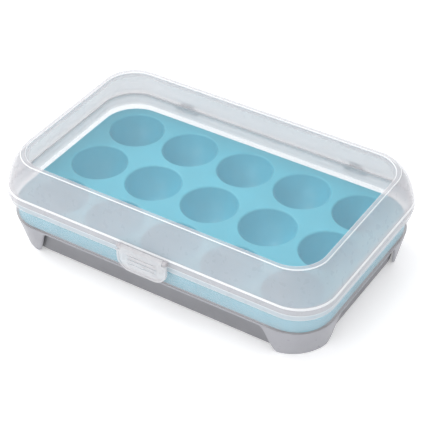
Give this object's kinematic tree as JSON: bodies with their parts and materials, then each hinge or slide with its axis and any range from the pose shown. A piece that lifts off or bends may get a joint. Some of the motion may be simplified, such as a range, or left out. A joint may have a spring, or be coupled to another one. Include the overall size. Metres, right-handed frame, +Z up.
{
  "type": "egg carton",
  "caption": "Translucent hinged egg carton: a footed base shell, a drop-in blue tray of round egg cells, a domed clear lid and a front latch tab.",
  "frame": {"origin": "on the ground, under the middle of the carton's outer box", "axes": "+X to the right along the carton's length, -Y to the front where the latch is, +Y to the hinge, +Z up"},
  "size_m": [0.252, 0.164, 0.07],
  "materials": {
    "base_plastic": "frosted translucent polypropylene, grey-white",
    "tray_plastic": "satin moulded polypropylene, pale sky blue",
    "lid_plastic": "translucent polypropylene, polished clear top panel and frosted walls",
    "latch_plastic": "milky translucent polypropylene"
  },
  "bodies": {
    "base": {"base_shell": "base_plastic", "egg_tray": "tray_plastic"},
    "lid": {"lid": "lid_plastic"},
    "latch": {"latch": "latch_plastic"}
  },
  "joints": [
    {"name": "lid_hinge", "type": "hinge", "parent": "base", "child": "lid", "pos_m": [0, 0.0796, 0.0384], "axis": [-1, 0, 0], "range_deg": [0, 110]},
    {"name": "latch_hinge", "type": "hinge", "parent": "lid", "child": "latch", "pos_m": [0, -0.0802, 0.0453], "axis": [-1, 0, 0], "range_deg": [0, 95]}
  ]
}
